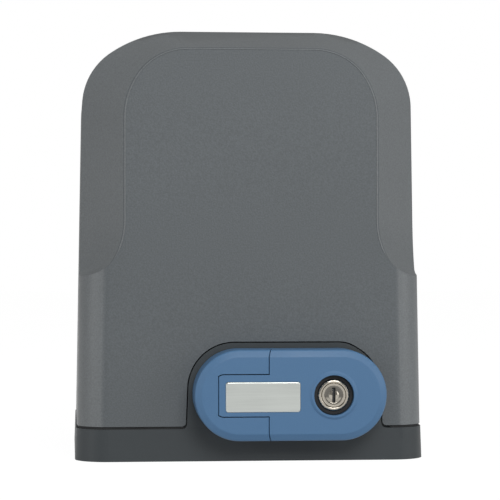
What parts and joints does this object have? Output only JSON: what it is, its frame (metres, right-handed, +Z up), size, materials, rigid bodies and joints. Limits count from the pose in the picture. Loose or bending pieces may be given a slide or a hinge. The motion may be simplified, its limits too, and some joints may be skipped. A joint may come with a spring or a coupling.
{
  "type": "sliding gate motor",
  "caption": "Sliding gate motor: lift-off ribless cover with rounded shoulders on a cast base, keyed swing-out release handle, worm gearbox, rear pinion and limit arm.",
  "frame": {"origin": "centre of the four anchor slots, on the underside of the base", "axes": "+Z up, +Y to the back where the pinion meets the rack, +X to the right seen from the front"},
  "size_m": [0.2526, 0.2714, 0.311],
  "materials": {
    "cover_plastic": "moulded, fine grain",
    "base_paint": "powder coat, satin",
    "handle_plastic": "moulded, satin",
    "plate_aluminium": "brushed",
    "lock_nickel": "nickel plated",
    "steel": "turned",
    "zinc_steel": "zinc plated",
    "cast_aluminium": "as cast",
    "bronze": "machined",
    "copper_wire": "enamelled",
    "laminated_steel": "varnished laminations",
    "rubber": "matt",
    "board_laminate": "solder mask",
    "green_plastic": "moulded",
    "black_plastic": "moulded",
    "white_plastic": "moulded",
    "red_plastic": "moulded"
  },
  "bodies": {
    "housing": {"base": "base_paint", "cover_seal": "rubber", "levelling_screws": "zinc_steel", "floor_screws": "zinc_steel", "hinge_bracket": "handle_plastic", "bracket_screws": "zinc_steel", "hinge_pin": "steel", "rod_guide": "bronze", "gearbox_housing": "cast_aluminium", "gearbox_cover": "cast_aluminium", "gearbox_cover_screws": "zinc_steel", "shaft_bearings": "steel", "shaft_seal": "rubber", "motor_flange": "cast_aluminium", "stator": "laminated_steel", "windings": "copper_wire", "motor_cap": "cast_aluminium", "motor_bolts": "zinc_steel", "rotor_bearings": "steel", "board_bracket": "zinc_steel", "board_standoffs": "zinc_steel", "circuit_board": "board_laminate", "terminal_blocks": "green_plastic", "relays": "black_plastic", "board_parts": "black_plastic", "transformer": "laminated_steel", "capacitor": "white_plastic", "capacitor_clamp": "black_plastic", "limit_box": "black_plastic", "limit_lid": "black_plastic", "limit_switches": "black_plastic"},
    "cover": {"cover": "cover_plastic", "cover_screws": "zinc_steel", "cover_nuts": "zinc_steel"},
    "lever": {"release_lever": "handle_plastic", "badge_plate": "plate_aluminium", "lock_barrel": "lock_nickel", "lock_nut": "lock_nickel"},
    "lock": {"lock_plug": "lock_nickel", "lock_cam": "zinc_steel"},
    "clutch": {"release_rod": "steel", "clutch_sleeve": "steel", "cross_pin": "steel"},
    "output": {"clutch_spring": "steel", "output_shaft": "steel", "shaft_key": "steel", "pinion": "zinc_steel", "pinion_washer": "zinc_steel", "pinion_bolt": "zinc_steel"},
    "wheel": {"worm_wheel": "bronze"},
    "rotor": {"worm_shaft": "steel", "rotor": "laminated_steel"},
    "limit": {"limit_arm": "zinc_steel", "limit_spring": "steel"},
    "learn": {"learn_button": "red_plastic"}
  },
  "joints": [
    {"name": "cover_lift", "type": "slide", "parent": "housing", "child": "cover", "axis": [0, 0, 1], "range_m": [0, 0.24]},
    {"name": "lever_swing", "type": "hinge", "parent": "housing", "child": "lever", "pos_m": [-0.0075, -0.116, 0.0485], "axis": [0, 0, -1], "range_deg": [0, 90]},
    {"name": "lock_turn", "type": "hinge", "parent": "lever", "child": "lock", "pos_m": [0.0557, -0.11, 0.0485], "axis": [0, -1, 0], "range_deg": [0, 90]},
    {"name": "rotor_turn", "type": "hinge", "parent": "housing", "child": "rotor", "pos_m": [0.0325, 0.018, 0.0485], "axis": [0, 0, 1], "continuous": true},
    {"name": "wheel_turn", "type": "hinge", "parent": "housing", "child": "wheel", "pos_m": [-0.0075, 0.018, 0.0485], "axis": [0, 1, 0], "continuous": true},
    {"name": "output_turn", "type": "hinge", "parent": "housing", "child": "output", "pos_m": [-0.0075, 0.06, 0.0485], "axis": [0, 1, 0], "continuous": true},
    {"name": "clutch_slide", "type": "slide", "parent": "output", "child": "clutch", "axis": [0, 1, 0], "range_m": [0, 0.0076], "deforming": ["clutch_spring"]},
    {"name": "limit_swing", "type": "hinge", "parent": "housing", "child": "limit", "pos_m": [-0.0075, 0.08245, 0.132], "axis": [0, 0, 1], "range_deg": [-30, 30], "stiffness_Nm_per_rad": 0.25},
    {"name": "learn_press", "type": "slide", "parent": "housing", "child": "learn", "axis": [0, 1, 0], "range_m": [0, 0.0005], "stiffness_N_per_m": 800}
  ],
  "couplings": [
    {"joint": "wheel_turn", "follows": "rotor_turn", "ratio": 0.033333},
    {"joint": "output_turn", "follows": "rotor_turn", "ratio": 0.033333},
    {"joint": "clutch_slide", "follows": "lever_swing", "m_per_rad": 0.0048383}
  ]
}
